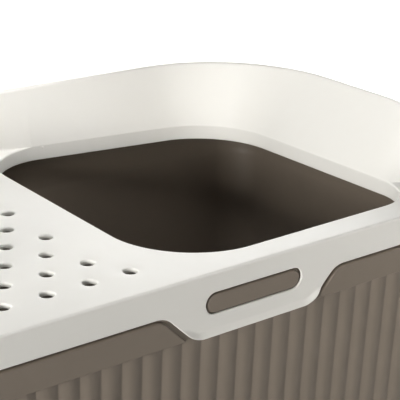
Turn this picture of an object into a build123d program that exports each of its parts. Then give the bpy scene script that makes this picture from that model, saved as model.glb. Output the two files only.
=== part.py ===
from build123d import *
import math
import os

# Top entry litter box: a deep reeded tub with a turned collar, and a lift-off
# lid whose left half is a perforated step deck and whose right half is a
# funnelled entry, with a high rim round the back and both ends.  The lid snaps
# on to the tub with one slotted tongue in the middle of each long side.
#
# Frame: millimetres, +Z up, origin under the middle of the tub on the floor.
# +X runs along the length towards the entry end, the front faces -Y.

# ------------------------------------------------------------ driving sizes
HALF_L = 299.0          # half length over the lid skirt and the collar
HALF_W = 195.2          # half width over the lid skirt and the collar
CORNER_R = 47.16        # plan corner radius of skirt and collar
DECK_Z = 337.0          # height of the deck above the floor
RIM_H = 63.0            # height of the rim above the deck
RIM_CORNER_R = 152.0    # plan corner radius of the rim's top edge
RIM_INSET = 0.4         # the rim's top edge stands in from the skirt by this
LIP_W = 6.0             # width of the rim's top edge
SKIN_LID = 2.6          # wall of the lid
SKIRT_H = 28.8          # depth of the lid's side skirt
FLANGE_H = 15.9         # down-turned flange round the entry
FLANGE_T = 2.2

# entry outline: a rounded four-cornered hole, corner points and radii
ENTRY = [((-71.3, -167.9), 87.3), ((235.3, -163.7), 50.0),
         ((226.0, 141.7), 88.5), ((-72.9, 187.7), 65.5)]

# the foot of the rim's sloping inner wall, measured at deck level
FOOT_BACK_Y = 182.0
FOOT_LEFT_X = -275.0

# drain holes of the step deck: triangular pitch
HOLE_PITCH = 40.0
HOLE_R = 6.5
HOLE_X0, HOLE_Y0 = -220.6, -151.7
DIMPLE_R, DIMPLE_D = 12.5, 1.1

# tub
COLLAR_Z0, COLLAR_Z1 = 280.2, DECK_Z - SKIRT_H
COLLAR_EDGE_R = 3.5
NECK_TOP = DECK_Z - SKIN_LID - 5.0     # top of the neck inside the skirt
NECK_INSET, NECK_T = 4.5, 2.5
REED_INSET = 5.8        # groove line behind the collar's face
REED_DEPTH = 2.0        # crest height over the groove line
REEDS_LONG, REEDS_SHORT, REEDS_CORNER = 25, 15, 3
REED_SHIFT = -3.2       # the long sides' grooves stand this far along X from the even spacing
DRAFT = math.tan(math.radians(2.3))
WALL = 1.9              # tub wall at the bottom of the reeds' grooves; the inside is smooth
FLOOR_T = 3.2
BASE_H = 10.0           # height of the rounded base under the reeds

# latch tongue, catch and slot; heights are below the deck
HINGE_DROP = 14.0
WINDOW_HALF = 62.0      # half width of the flexing window in the skirt
SLOT_HALF, SLOT_TOP, SLOT_BOT = 53.4, 19.0, 39.2
CATCH_HALF, CATCH_TOP, CATCH_BOT = 51.8, 20.6, 38.5
TONGUE_BOT = 58.3
TONGUE_LIP = 3.5        # how far the finger lip stands out
CATCH_PROUD = 194.3     # face of the catch, just behind the tongue's face
GAP = 0.2               # running gap round the tongue's upper part

os.makedirs("parts", exist_ok=True)


# ------------------------------------------------------------ small helpers
def rounded_rect(hx, hy, r, z):
    """Closed wire of four lines and four arcs, counter-clockwise."""
    k = r * math.cos(math.pi / 4)
    c = [(hx - r, hy - r), (-hx + r, hy - r), (-hx + r, -hy + r), (hx - r, -hy + r)]
    e = []
    e.append(Line((hx, -hy + r, z), (hx, hy - r, z)))
    e.append(ThreePointArc((hx, hy - r, z), (c[0][0] + k, c[0][1] + k, z), (hx - r, hy, z)))
    e.append(Line((hx - r, hy, z), (-hx + r, hy, z)))
    e.append(ThreePointArc((-hx + r, hy, z), (c[1][0] - k, c[1][1] + k, z), (-hx, hy - r, z)))
    e.append(Line((-hx, hy - r, z), (-hx, -hy + r, z)))
    e.append(ThreePointArc((-hx, -hy + r, z), (c[2][0] - k, c[2][1] - k, z), (-hx + r, -hy, z)))
    e.append(Line((-hx + r, -hy, z), (hx - r, -hy, z)))
    e.append(ThreePointArc((hx - r, -hy, z), (c[3][0] + k, c[3][1] - k, z), (hx, -hy + r, z)))
    return Wire(e)


def face(wire):
    return Face(wire)


def prism(wire, height):
    return Solid.extrude(Face(wire), Vector(0, 0, height))


def ruled(*wires):
    return Solid.make_loft(list(wires), ruled=True)


def corner(p, a, b, r):
    """Tangent points and arc middle of a fillet r at p between a and b."""
    px, py = p
    ua = (a[0] - px, a[1] - py)
    ub = (b[0] - px, b[1] - py)
    la, lb = math.hypot(*ua), math.hypot(*ub)
    ua = (ua[0] / la, ua[1] / la)
    ub = (ub[0] / lb, ub[1] / lb)
    ang = math.acos(max(-1.0, min(1.0, ua[0] * ub[0] + ua[1] * ub[1])))
    t = r / math.tan(ang / 2)
    bx, by = ua[0] + ub[0], ua[1] + ub[1]
    lm = math.hypot(bx, by)
    bx, by = bx / lm, by / lm
    d = r / math.sin(ang / 2)
    s = (px + ua[0] * t, py + ua[1] * t)
    e = (px + ub[0] * t, py + ub[1] * t)
    m = (px + bx * (d - r), py + by * (d - r))
    return s, m, e


def rounded_polygon(pts, z, grow=0.0):
    """Wire round corner points with radii; grow offsets it outwards."""
    n = len(pts)
    P = [p for p, r in pts]
    if grow:
        Q = []
        for i in range(n):
            a, p, b = P[i - 1], P[i], P[(i + 1) % n]
            n1 = normal(a, p)
            n2 = normal(p, b)
            Q.append(meet((a[0] + n1[0] * grow, a[1] + n1[1] * grow),
                          (p[0] + n1[0] * grow, p[1] + n1[1] * grow),
                          (p[0] + n2[0] * grow, p[1] + n2[1] * grow),
                          (b[0] + n2[0] * grow, b[1] + n2[1] * grow)))
        P = Q
    e = []
    last = None
    first = None
    for i in range(n):
        s, m, t = corner(P[i], P[i - 1], P[(i + 1) % n], pts[i][1] + grow)
        if last is not None:
            e.append(Line((*last, z), (*s, z)))
        else:
            first = s
        e.append(ThreePointArc((*s, z), (*m, z), (*t, z)))
        last = t
    e.append(Line((*last, z), (*first, z)))
    return Wire(e)


def normal(a, b):
    """Outward normal of the edge a-b of a counter-clockwise outline."""
    dx, dy = b[0] - a[0], b[1] - a[1]
    l = math.hypot(dx, dy)
    return dy / l, -dx / l


def meet(a, b, c, d):
    x1, y1, x2, y2, x3, y3, x4, y4 = *a, *b, *c, *d
    den = (x1 - x2) * (y3 - y4) - (y1 - y2) * (x3 - x4)
    u = x1 * y2 - y1 * x2
    v = x3 * y4 - y3 * x4
    return (u * (x3 - x4) - (x1 - x2) * v) / den, (u * (y3 - y4) - (y1 - y2) * v) / den


def box(x0, x1, y0, y1, z0, z1):
    return Solid.make_box(x1 - x0, y1 - y0, z1 - z0, Plane((x0, y0, z0)))


def export(solid, name, rgb):
    solid.label = name
    solid.color = Color(*rgb)
    export_step(solid, f"parts/{name}.step")


# ------------------------------------------------------------ tub
def reeded(z, inset):
    """Reeded outline at height z: arcs bulging outwards between grooves."""
    d = REED_INSET + inset + (COLLAR_Z0 - z) * DRAFT
    sx, sy = HALF_L - CORNER_R, HALF_W - CORNER_R
    hx, hy, r = HALF_L - d, HALF_W - d, CORNER_R - d
    grooves = []
    for i in range(REEDS_SHORT):
        grooves.append((hx, -sy + 2 * sy * i / REEDS_SHORT))
    for q, (cx, cy) in enumerate([(sx, sy), (-sx, sy), (-sx, -sy), (sx, -sy)]):
        for i in range(REEDS_CORNER):
            a = math.pi / 2 * (q + i / REEDS_CORNER)
            grooves.append((cx + r * math.cos(a), cy + r * math.sin(a)))
        if q == 0:
            for i in range(REEDS_LONG):
                grooves.append((sx - 2 * sx * i / REEDS_LONG + REED_SHIFT * (i > 0), hy))
        elif q == 1:
            for i in range(REEDS_SHORT):
                grooves.append((-hx, sy - 2 * sy * i / REEDS_SHORT))
        elif q == 2:
            for i in range(REEDS_LONG):
                grooves.append((-sx + 2 * sx * i / REEDS_LONG + REED_SHIFT * (i > 0), -hy))
    e = []
    n = len(grooves)
    for i in range(n):
        a, b = grooves[i], grooves[(i + 1) % n]
        nx, ny = normal(a, b)
        m = ((a[0] + b[0]) / 2 + nx * REED_DEPTH, (a[1] + b[1]) / 2 + ny * REED_DEPTH)
        e.append(ThreePointArc((*a, z), (*m, z), (*b, z)))
    return Wire(e)


def inset_rect(d, z):
    return rounded_rect(HALF_L - d, HALF_W - d, CORNER_R - d, z)


def tongue_outline(grow=0.0, top=HINGE_DROP, window=WINDOW_HALF):
    """Outline of the tongue in the XZ plane, as (x, drop) corner points."""
    root = SKIRT_H
    fx, fd = 84.5 + grow, 39.3                    # a point of the flank
    k = math.tan(math.radians(45.5))
    x_root = fx + (fd - root) / k
    x_foot = fx - (TONGUE_BOT + grow - fd) / k
    pts = [((x_root + 30.0, root), None), ((x_root, root), 22.0 - min(grow, 6.0)),
           ((x_foot, TONGUE_BOT + grow), 26.0 + grow)]
    return pts


def tongue_plate(y0, y1, grow=0.0):
    """Flat plate of the tongue between two y planes, below the skirt's edge."""
    (a, _), (b, rb), (c, rc) = tongue_outline(grow)
    z = lambda d: DECK_Z - d
    s1, m1, e1 = corner(b, a, c, rb)
    s2, m2, e2 = corner(c, b, (-c[0], c[1]), rc)
    R = [s1, m1, e1, s2, m2, e2]
    pt = lambda p, s=1: (s * p[0], y0, z(p[1]))
    e = [ThreePointArc(pt(R[0]), pt(R[1]), pt(R[2])),
         Line(pt(R[2]), pt(R[3])),
         ThreePointArc(pt(R[3]), pt(R[4]), pt(R[5])),
         Line(pt(R[5]), pt(R[5], -1)),
         ThreePointArc(pt(R[5], -1), pt(R[4], -1), pt(R[3], -1)),
         Line(pt(R[3], -1), pt(R[2], -1)),
         ThreePointArc(pt(R[2], -1), pt(R[1], -1), pt(R[0], -1)),
         Line(pt(R[0], -1), pt(R[0]))]
    return Solid.extrude(Face(Wire(e)), Vector(0, y1 - y0, 0))


def stadium(half, top, bot, y0, y1):
    """Long oblong block with round ends, facing the front."""
    r = (bot - top) / 2
    zc = DECK_Z - (top + bot) / 2
    e = [Line((-half + r, y0, zc + r), (half - r, y0, zc + r)),
         ThreePointArc((half - r, y0, zc + r), (half, y0, zc), (half - r, y0, zc - r)),
         Line((half - r, y0, zc - r), (-half + r, y0, zc - r)),
         ThreePointArc((-half + r, y0, zc - r), (-half, y0, zc), (-half + r, y0, zc + r))]
    return Solid.extrude(Face(Wire(e)), Vector(0, y1 - y0, 0))


# outer body: rounded base, reeded wall, collar and neck
d_low = REED_INSET + (COLLAR_Z0 - BASE_H) * DRAFT
base = ruled(inset_rect(d_low + 6.5, 0.0), inset_rect(d_low + 2.2, 2.4), inset_rect(d_low, BASE_H + 0.5))
wall = ruled(reeded(BASE_H, 0.0), reeded(COLLAR_Z0 + 1.0, 0.0))
collar = prism(inset_rect(0.0, COLLAR_Z0), COLLAR_Z1 - COLLAR_Z0)
collar = collar.fillet(COLLAR_EDGE_R, [e for e in collar.edges()
                                       if e.center().Z > COLLAR_Z1 - 0.1])
neck = prism(inset_rect(NECK_INSET, COLLAR_Z1 - 2.0), NECK_TOP - COLLAR_Z1 + 2.0)
tub = base + wall + collar + neck

# cavity: flat floor, smooth inside wall, plain neck
d_in = d_low + WALL
cavity = ruled(inset_rect(d_in + 3.5, FLOOR_T), inset_rect(d_in, BASE_H))
cavity = cavity + ruled(inset_rect(d_in, BASE_H - 0.2), inset_rect(REED_INSET + WALL, COLLAR_Z0))
cavity = cavity + prism(inset_rect(NECK_INSET + NECK_T, COLLAR_Z0 - 0.2), 80.0)
tub = tub - cavity

# pockets in the collar for the tongues
for side in (-1, 1):
    y_face, y_pocket = side * (HALF_W + 2.0), side * (HALF_W - 3.5)
    pocket = tongue_plate(y_face, y_pocket, grow=2.4)
    lower = box(-140, 140, min(y_face, y_pocket), max(y_face, y_pocket),
                COLLAR_Z0 - 30.0, COLLAR_Z0)
    tub = tub - (pocket - lower)
tub = tub.solids()[0] if hasattr(tub, "solids") else tub

# catches: the oblong bosses that stand in the tongues' slots
catches = {}
for name, side in (("front_latch_catch", -1), ("rear_latch_catch", 1)):
    blk = stadium(CATCH_HALF, CATCH_TOP, CATCH_BOT, side * (HALF_W - NECK_INSET - 0.5),
                  side * CATCH_PROUD)
    blk = blk.fillet(1.6, [e for e in blk.edges() if abs(abs(e.center().Y) - CATCH_PROUD) < 0.01])
    catches[name] = (blk - tub).solids()[0]


# ------------------------------------------------------------ lid
def rim_height(y):
    """Height of the rim above the deck at a station y along the ends."""
    y_top, y_low = -70.0, -176.0
    if y >= y_top:
        return RIM_H
    if y <= y_low:
        return 0.0
    t = (y - y_low) / (y_top - y_low)
    return RIM_H * (t * t * t * (t * (6 * t - 15) + 10))


def outer_x(y, h):
    """Half length of the lid's outer surface at station y, h above the deck."""
    f = h / RIM_H
    r = CORNER_R + (RIM_CORNER_R - CORNER_R) * f
    hx = HALF_L - RIM_INSET * f
    dy = abs(y) - (HALF_W - RIM_INSET * f - r)
    if dy <= 0:
        return hx
    return hx - r + math.sqrt(max(r * r - dy * dy, 0.0))


def foot_right(y):
    (x1, y1), (x2, y2) = ENTRY[1][0], ENTRY[2][0]
    x = x1 + (x2 - x1) * (y - y1) / (y2 - y1)
    return min(x, outer_x(y, rim_height(y)) - LIP_W - 9.0)


def foot_left(y):
    t = max(0.0, min(1.0, (-y - 60.0) / 116.0))
    return -(-FOOT_LEFT_X - 36.0 * t * t * (3 - 2 * t))


Y_SPLIT = 20.0


def air_back(t):
    """Space inside the rim behind Y_SPLIT; t sinks it into the wall."""
    z0, z1 = DECK_Z - t, DECK_Z + RIM_H - t
    fx, fy = 1.25 * t, 1.05 * t
    slope = (ENTRY[3][0][1] - ENTRY[2][0][1]) / (ENTRY[3][0][0] - ENTRY[2][0][0])
    yb = FOOT_BACK_Y + fy
    p0 = (foot_right(Y_SPLIT) + fx, Y_SPLIT)
    v3 = (ENTRY[2][0][0] + fx, ENTRY[2][0][1] + fy)
    vb = (v3[0] + (yb - v3[1]) / slope, yb)
    vl = (FOOT_LEFT_X - fx, yb)
    p1 = (FOOT_LEFT_X - fx, Y_SPLIT)
    a1, a2, a3 = corner(v3, p0, vb, ENTRY[2][1])
    b1, b2, b3 = corner(vb, v3, vl, 300.0)
    c1, c2, c3 = corner(vl, vb, p1, 118.0)
    g = lambda p: (*p, z0)
    low = Wire([Line(g(p0), g(a1)), ThreePointArc(g(a1), g(a2), g(a3)), Line(g(a3), g(b1)),
                ThreePointArc(g(b1), g(b2), g(b3)), Line(g(b3), g(c1)),
                ThreePointArc(g(c1), g(c2), g(c3)), Line(g(c3), g(p1)), Line(g(p1), g(p0))])
    o = LIP_W if t == 0 else 1.9
    hx, hy, r = HALF_L - RIM_INSET - o, HALF_W - RIM_INSET - o, RIM_CORNER_R - o

    def top(z):
        k = r * math.cos(math.pi / 4)
        cx, cy = hx - r, hy - r
        q = lambda x, y: (x, y, z)
        return Wire([Line(q(hx, Y_SPLIT), q(hx, cy)),
                     ThreePointArc(q(hx, cy), q(cx + k, cy + k), q(cx, hy)),
                     Line(q(cx, hy), q(b1[0], hy)), Line(q(b1[0], hy), q(b3[0], hy)),
                     Line(q(b3[0], hy), q(-cx, hy)),
                     ThreePointArc(q(-cx, hy), q(-cx - k, cy + k), q(-hx, cy)),
                     Line(q(-hx, cy), q(-hx, Y_SPLIT)), Line(q(-hx, Y_SPLIT), q(hx, Y_SPLIT))])
    return ruled(low, top(z1)) + prism(top(z1), 30.0)


def air_front(t):
    """Space inside and above the falling rim ahead of Y_SPLIT."""
    fx = 1.25 * t
    o = LIP_W if t == 0 else 1.9
    wires = []
    for y in (Y_SPLIT, -70.0, -82.0, -94.0, -106.0, -118.0, -130.0, -142.0, -154.0, -165.0, -176.0, -230.0):
        h = rim_height(y)
        ye = max(y, -176.0)
        xo = outer_x(ye, h) - o if t == 0 else min(outer_x(ye, h) - o, outer_x(ye, h) - o)
        xr = foot_right(ye) + fx
        xl = foot_left(ye) - fx
        zt = DECK_Z + h - t
        P = [(xl, DECK_Z - t), (xr, DECK_Z - t), (max(xo, xr + 1.0), zt), (420.0, zt), (420.0, DECK_Z + 93.0 - t),
             (-420.0, DECK_Z + 93.0 - t), (-420.0, zt), (min(-xo, xl - 1.0), zt)]
        V = [(x, y, z) for x, z in P]
        wires.append(Wire([Line(V[i], V[(i + 1) % 8]) for i in range(8)]))
    parts = [ruled(wires[i], wires[i + 1]) for i in range(len(wires) - 1)]
    out = parts[0]
    for p in parts[1:]:
        out = out + p
    return out


def lid_envelope(d, z_low):
    """Outside of skirt and rim, stepped in by d."""
    skirt = prism(inset_rect(d, z_low), DECK_Z - z_low)
    rim = ruled(inset_rect(d, DECK_Z),
                rounded_rect(HALF_L - RIM_INSET - d, HALF_W - RIM_INSET - d,
                             RIM_CORNER_R - d, DECK_Z + RIM_H))
    return skirt + rim


lid = lid_envelope(0.0, DECK_Z - SKIRT_H) - air_back(0.0) - air_front(0.0)
hollow = lid_envelope(SKIN_LID, DECK_Z - SKIRT_H - 5.0) - air_back(SKIN_LID) - air_front(SKIN_LID)
lid = lid - hollow

# entry with its down-turned flange
flange = prism(rounded_polygon(ENTRY, DECK_Z - FLANGE_H, grow=FLANGE_T), FLANGE_H - 1.0)
lid = lid + flange
lid = lid - prism(rounded_polygon(ENTRY, DECK_Z - FLANGE_H - 5.0), FLANGE_H + 20.0)

# drain holes, each in a shallow dimple
holes = []
for row in range(9):
    if row % 2 == 0:
        cols = [0, 1, 2, 3] if row == 0 else [0, 1, 2]
    else:
        cols = [-0.5, 0.5, 1.5, 2.5]
    for c in cols:
        holes.append((HOLE_X0 + HOLE_PITCH * c, HOLE_Y0 + HOLE_PITCH * math.sqrt(3) / 2 * row))
cutters = []
for hx, hy in holes:
    cyl = Solid.make_cylinder(HOLE_R, 12.0, Plane((hx, hy, DECK_Z - 6.0)))
    dim = Solid.make_cone(HOLE_R + 0.6, DIMPLE_R, DIMPLE_D, Plane((hx, hy, DECK_Z - DIMPLE_D)))
    cutters += [cyl, dim]
lid = lid.cut(*cutters) if hasattr(lid, "cut") else lid - cutters

# windows in the skirt for the tongues
for side in (-1, 1):
    y_a, y_b = side * (HALF_W + 1.0), side * (HALF_W - SKIN_LID - 0.6)
    lid = lid - box(-WINDOW_HALF - GAP, WINDOW_HALF + GAP, min(y_a, y_b), max(y_a, y_b),
                    DECK_Z - SKIRT_H - 1.0, DECK_Z - HINGE_DROP + GAP)
lid_solids = sorted(lid.solids(), key=lambda s: -s.volume)
lid = lid_solids[0]


# ------------------------------------------------------------ latch tongues
def latch_tongue(side):
    y_out, y_in = side * HALF_W, side * (HALF_W - SKIN_LID)
    plate = tongue_plate(y_out, y_in)
    top = box(-WINDOW_HALF, WINDOW_HALF, min(y_out, y_in), max(y_out, y_in),
              DECK_Z - SKIRT_H - 0.5, DECK_Z - HINGE_DROP)
    body = plate + top
    # shoulders clear the skirt's lower edge
    for s in (-1, 1):
        x0, x1 = sorted((s * WINDOW_HALF, s * 140.0))
        body = body - box(x0, x1, -300, 300, DECK_Z - SKIRT_H - GAP, DECK_Z)
    # finger lip: the lower edge sweeps outwards
    z = lambda d: DECK_Z - d
    ya = lambda v: side * v
    prof = [(ya(HALF_W - SKIN_LID), z(TONGUE_BOT - 9.0)), (ya(HALF_W), z(TONGUE_BOT - 9.0)),
            (ya(HALF_W + TONGUE_LIP), z(TONGUE_BOT - 1.2)), (ya(HALF_W + TONGUE_LIP), z(TONGUE_BOT)),
            (ya(HALF_W + TONGUE_LIP - 2.4), z(TONGUE_BOT)), (ya(HALF_W - SKIN_LID), z(TONGUE_BOT - 5.0))]
    w = Wire([Line((-90.0, *prof[i]), (-90.0, *prof[(i + 1) % 6])) for i in range(6)])
    lip = Solid.extrude(Face(w), Vector(180.0, 0, 0))
    lip = lip & tongue_plate(side * (HALF_W + 12.0), side * (HALF_W - 6.0))
    under = [(ya(HALF_W - SKIN_LID - 1.0), z(TONGUE_BOT - 5.0 + 0.0)),
             (ya(HALF_W - SKIN_LID), z(TONGUE_BOT - 5.0)),
             (ya(HALF_W + TONGUE_LIP - 2.4), z(TONGUE_BOT)),
             (ya(HALF_W + TONGUE_LIP - 2.4), z(TONGUE_BOT + 1.0)),
             (ya(HALF_W - SKIN_LID - 1.0), z(TONGUE_BOT + 1.0))]
    wu = Wire([Line((-140.0, *under[i]), (-140.0, *under[(i + 1) % 5])) for i in range(5)])
    body = (body + lip) - Solid.extrude(Face(wu), Vector(280.0, 0, 0))
    body = body - stadium(SLOT_HALF, SLOT_TOP, SLOT_BOT, side * (HALF_W + 5.0), side * (HALF_W - 8.0))
    return sorted(body.solids(), key=lambda s: -s.volume)[0]


front_tongue = latch_tongue(-1)
rear_tongue = latch_tongue(1)

# ------------------------------------------------------------ files
TAUPE = (0.40, 0.36, 0.32)
IVORY = (0.93, 0.92, 0.90)
export(tub, "tub", TAUPE)
for n, s in catches.items():
    export(s, n, TAUPE)
export(lid, "lid", IVORY)
export(front_tongue, "front_latch_tongue", IVORY)
export(rear_tongue, "rear_latch_tongue", IVORY)
for n, s in (("tub", tub), ("lid", lid), ("front_latch_tongue", front_tongue),
             ("rear_latch_tongue", rear_tongue), *catches.items()):
    b = s.bounding_box()
    print(n, "volume cm3", round(s.volume / 1000, 1), "min", [round(v, 1) for v in (b.min.X, b.min.Y, b.min.Z)],
          "max", [round(v, 1) for v in (b.max.X, b.max.Y, b.max.Z)], "valid", s.is_valid)
print("lid solids", [round(s.volume / 1000, 2) for s in lid_solids])
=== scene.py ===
import math

import bmesh
import bpy
import numpy as np
from mathutils import Matrix, Vector, geometry


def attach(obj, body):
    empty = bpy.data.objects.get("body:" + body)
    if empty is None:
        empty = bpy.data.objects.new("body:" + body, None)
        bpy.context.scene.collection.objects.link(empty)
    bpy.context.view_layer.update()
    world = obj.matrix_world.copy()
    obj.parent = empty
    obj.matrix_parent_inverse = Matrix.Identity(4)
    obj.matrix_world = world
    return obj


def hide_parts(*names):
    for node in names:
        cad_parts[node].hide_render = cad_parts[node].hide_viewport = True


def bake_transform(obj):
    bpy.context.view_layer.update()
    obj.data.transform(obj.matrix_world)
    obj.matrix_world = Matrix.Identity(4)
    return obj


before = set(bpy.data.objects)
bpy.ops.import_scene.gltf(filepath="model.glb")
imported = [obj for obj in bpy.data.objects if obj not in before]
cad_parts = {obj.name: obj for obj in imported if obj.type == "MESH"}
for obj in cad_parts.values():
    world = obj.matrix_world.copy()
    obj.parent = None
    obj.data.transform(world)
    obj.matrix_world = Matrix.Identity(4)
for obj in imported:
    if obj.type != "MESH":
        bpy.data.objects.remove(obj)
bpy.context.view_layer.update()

# ---------------------------------------------------------------- sizes, mm
HL, HW, CR = 299.0, 195.2, 47.16            # lid skirt and tub collar
DECK, RIM, RIM_R, RIM_IN = 337.0, 63.0, 152.0, 0.4
LIP, SKIN = 6.0, 2.6
SKIRT_Z = 308.2
FLANGE_Z, FLANGE_T = 321.1, 2.2
ENTRY = [((-71.3, -167.9), 87.3), ((235.3, -163.7), 50.0),
         ((226.0, 141.7), 88.5), ((-72.9, 187.7), 65.5)]
FOOT_BACK, FOOT_LEFT = 182.0, -275.0
HOLE_PITCH, HOLE_X0, HOLE_Y0 = 40.0, -220.6, -151.7
COLLAR_Z = 280.2
DRAFT = math.tan(math.radians(2.3))
DROP = lambda d: DECK - d


def smooth(t):
    t = min(1.0, max(0.0, t))
    return t * t * (3 - 2 * t)


def unit(v):
    v = np.asarray(v, float)
    return v / np.linalg.norm(v)


# ------------------------------------------------------------ mesh building
class Net:
    """Points in millimetres and faces, welded when the mesh is made."""

    def __init__(self):
        self.v, self.f = [], []

    def grid(self, rows, closed=False, flip=False):
        """Quads between rows of points; closed joins the last column to the first."""
        n = len(rows[0])
        base = len(self.v)
        for r in rows:
            assert len(r) == n, (len(r), n)
            self.v.extend([tuple(p) for p in r])
        for i in range(len(rows) - 1):
            for j in range(n if closed else n - 1):
                k = (j + 1) % n
                a, b = base + i * n + j, base + i * n + k
                c, d = base + (i + 1) * n + k, base + (i + 1) * n + j
                self.f.append((a, d, c, b) if flip else (a, b, c, d))

    def face(self, pts, flip=False):
        base = len(self.v)
        self.v.extend([tuple(p) for p in pts])
        ids = list(range(base, base + len(pts)))
        self.f.append(tuple(ids[::-1] if flip else ids))

    def fan(self, tip, pts, flip=False):
        for a, b in zip(pts[:-1], pts[1:]):
            self.face([tip, a, b], flip)

    def flat(self, outer, holes, lift, flip=False, extra=()):
        """Triangulates a plane region; outer and holes are lists of (2-D point, 3-D point)."""
        pts2, pts3, edges = [], [], []
        for loop in [outer, *holes]:
            s = len(pts2)
            for p2, p3 in loop:
                pts2.append(Vector((float(p2[0]), float(p2[1]))))
                pts3.append(tuple(p3))
            n = len(loop)
            edges += [(s + i, s + (i + 1) % n) for i in range(n)]
        for p2 in extra:
            pts2.append(Vector((float(p2[0]), float(p2[1]))))
            pts3.append(tuple(lift(p2)))
        res = geometry.delaunay_2d_cdt(pts2, edges, [], 0, 1e-5)
        v2, tri, src = res[0], res[2], res[3]
        loops = [np.array([p[0] for p in outer], float)] + [np.array([p[0] for p in h], float) for h in holes]
        cen = np.array([[(v2[a][0] + v2[b][0] + v2[c][0]) / 3, (v2[a][1] + v2[b][1] + v2[c][1]) / 3]
                        for a, b, c in tri])
        keep = inside(cen, loops[0])
        for l in loops[1:]:
            keep &= ~inside(cen, l)
        base = len(self.v)
        for i, p in enumerate(v2):
            self.v.append(pts3[src[i][0]] if src[i] else tuple(lift((p[0], p[1]))))
        for (a, b, c), k in zip(tri, keep):
            if k:
                self.f.append((base + c, base + b, base + a) if flip else (base + a, base + b, base + c))

    def mesh(self, name, weld=0.003, smooth_deg=35.0):
        me = bpy.data.meshes.new(name)
        me.from_pydata([(x * 0.001, y * 0.001, z * 0.001) for x, y, z in self.v], [], self.f)
        bm = bmesh.new()
        bm.from_mesh(me)
        bmesh.ops.remove_doubles(bm, verts=bm.verts, dist=weld * 0.001)
        bmesh.ops.dissolve_degenerate(bm, dist=1e-7, edges=bm.edges)
        bmesh.ops.recalc_face_normals(bm, faces=bm.faces)
        bm.to_mesh(me)
        bad = sum(1 for e in bm.edges if len(e.link_faces) != 2)
        bm.free()
        print("mesh", name, len(me.vertices), "verts", len(me.polygons), "faces, open edges", bad)
        ob = bpy.data.objects.new(name, me)
        bpy.context.scene.collection.objects.link(ob)
        finish_shading(ob, smooth_deg)
        return ob


def inside(pts, loop):
    """Even-odd test of points against a closed 2-D loop."""
    x, y = pts[:, 0][:, None], pts[:, 1][:, None]
    a, b = loop, np.roll(loop, -1, axis=0)
    ax, ay, bx, by = a[:, 0], a[:, 1], b[:, 0], b[:, 1]
    cross = (ay > y) != (by > y)
    with np.errstate(divide="ignore", invalid="ignore"):
        xi = ax + (y - ay) * (bx - ax) / (by - ay)
    return (np.sum(cross & (x < xi), axis=1) % 2).astype(bool)


def finish_shading(ob, deg=35.0):
    me = ob.data
    me.shade_smooth()
    me.set_sharp_from_angle(angle=math.radians(deg))
    m = ob.modifiers.new("shading", "WEIGHTED_NORMAL")
    m.keep_sharp = True
    m.mode = "FACE_AREA"
    m.weight = 60


def round_corner(c, d_in, d_out, length, n):
    """Points of the arc that rounds corner c; d_in points towards c, d_out away from it."""
    c, a, b = np.asarray(c, float), unit(d_in), unit(d_out)
    cosf = float(np.clip(a @ b, -1, 1))
    phi = math.acos(cosf)
    p0, p1 = c - a * length, c + b * length
    if phi < 0.004:
        return [p0 + (p1 - p0) * k / n for k in range(n + 1)]
    r = length / math.tan(phi / 2)
    w = unit(b - a * cosf)                      # in the plane, towards the centre
    cen = p0 + w * r
    return [cen - w * r * math.cos(phi * k / n) + a * r * math.sin(phi * k / n) for k in range(n + 1)]


# -------------------------------------------------------------- lid outlines
def rr(hx, hy, r, edge, t):
    """Point and outward normal on a rounded rectangle; edges run counter-clockwise from the front."""
    sx, sy = hx - r, hy - r
    if edge % 2:
        cx, cy = [(sx, -sy), (sx, sy), (-sx, sy), (-sx, -sy)][edge // 2]
        a = math.pi / 2 * (edge // 2 - 1 + t)
        n = np.array([math.cos(a), math.sin(a)])
        return np.array([cx, cy]) + r * n, n
    p = {0: (-sx + 2 * sx * t, -hy), 2: (hx, -sy + 2 * sy * t), 4: (sx - 2 * sx * t, hy),
         6: (-hx, sy - 2 * sy * t)}[edge]
    return np.array(p), np.array({0: (0., -1.), 2: (1., 0.), 4: (0., 1.), 6: (-1., 0.)}[edge])


def rim_height(y):
    t = (y + 176.0) / 106.0
    if t >= 1:
        return RIM
    if t <= 0:
        return 0.0
    return RIM * (t * t * t * (t * (6 * t - 15) + 10))


def lean(z, h):
    """How far the outer wall has gone from the skirt's outline to the rim's, eased at the deck."""
    if z <= 329.0:
        f = 0.0
    elif z < 345.0:
        f = (z - 329.0) ** 2 / (2 * 16.0 * RIM)
    else:
        f = (z - 337.0) / RIM
    return f * smooth(h / 14.0)


def fillet(p, a, b, r):
    p, a, b = (np.asarray(q, float) for q in (p, a, b))
    ua, ub = unit(a - p), unit(b - p)
    ang = math.acos(float(np.clip(ua @ ub, -1, 1)))
    t = r / math.tan(ang / 2)
    c = p + unit(ua + ub) * (r / math.sin(ang / 2))
    return p + ua * t, p + ub * t, c


V = [np.array(p) for p, r in ENTRY]
ER = [r for p, r in ENTRY]
EF = [fillet(V[i], V[i - 1], V[(i + 1) % 4], ER[i]) for i in range(4)]   # start, end, centre


def on_arc(c, p0, p1, f):
    """Point at fraction f of the short counter-clockwise arc about c from p0 to p1."""
    a0 = math.atan2(*(p0 - c)[::-1])
    a1 = math.atan2(*(p1 - c)[::-1])
    while a1 < a0:
        a1 += 2 * math.pi
    r = np.linalg.norm(p0 - c)
    a = a0 + (a1 - a0) * f
    n = np.array([math.cos(a), math.sin(a)])
    return c + r * n, n


_slope = (V[3][1] - V[2][1]) / (V[3][0] - V[2][0])
VB = np.array([V[2][0] + (FOOT_BACK - V[2][1]) / _slope, FOOT_BACK])
VL = np.array([FOOT_LEFT, FOOT_BACK])
P1 = np.array([FOOT_LEFT, 20.0])
B1, B3, BC = fillet(VB, V[2], VL, 300.0)
C1, C3, CC = fillet(VL, VB, P1, 118.0)
A1, A3, AC = EF[2]


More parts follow.
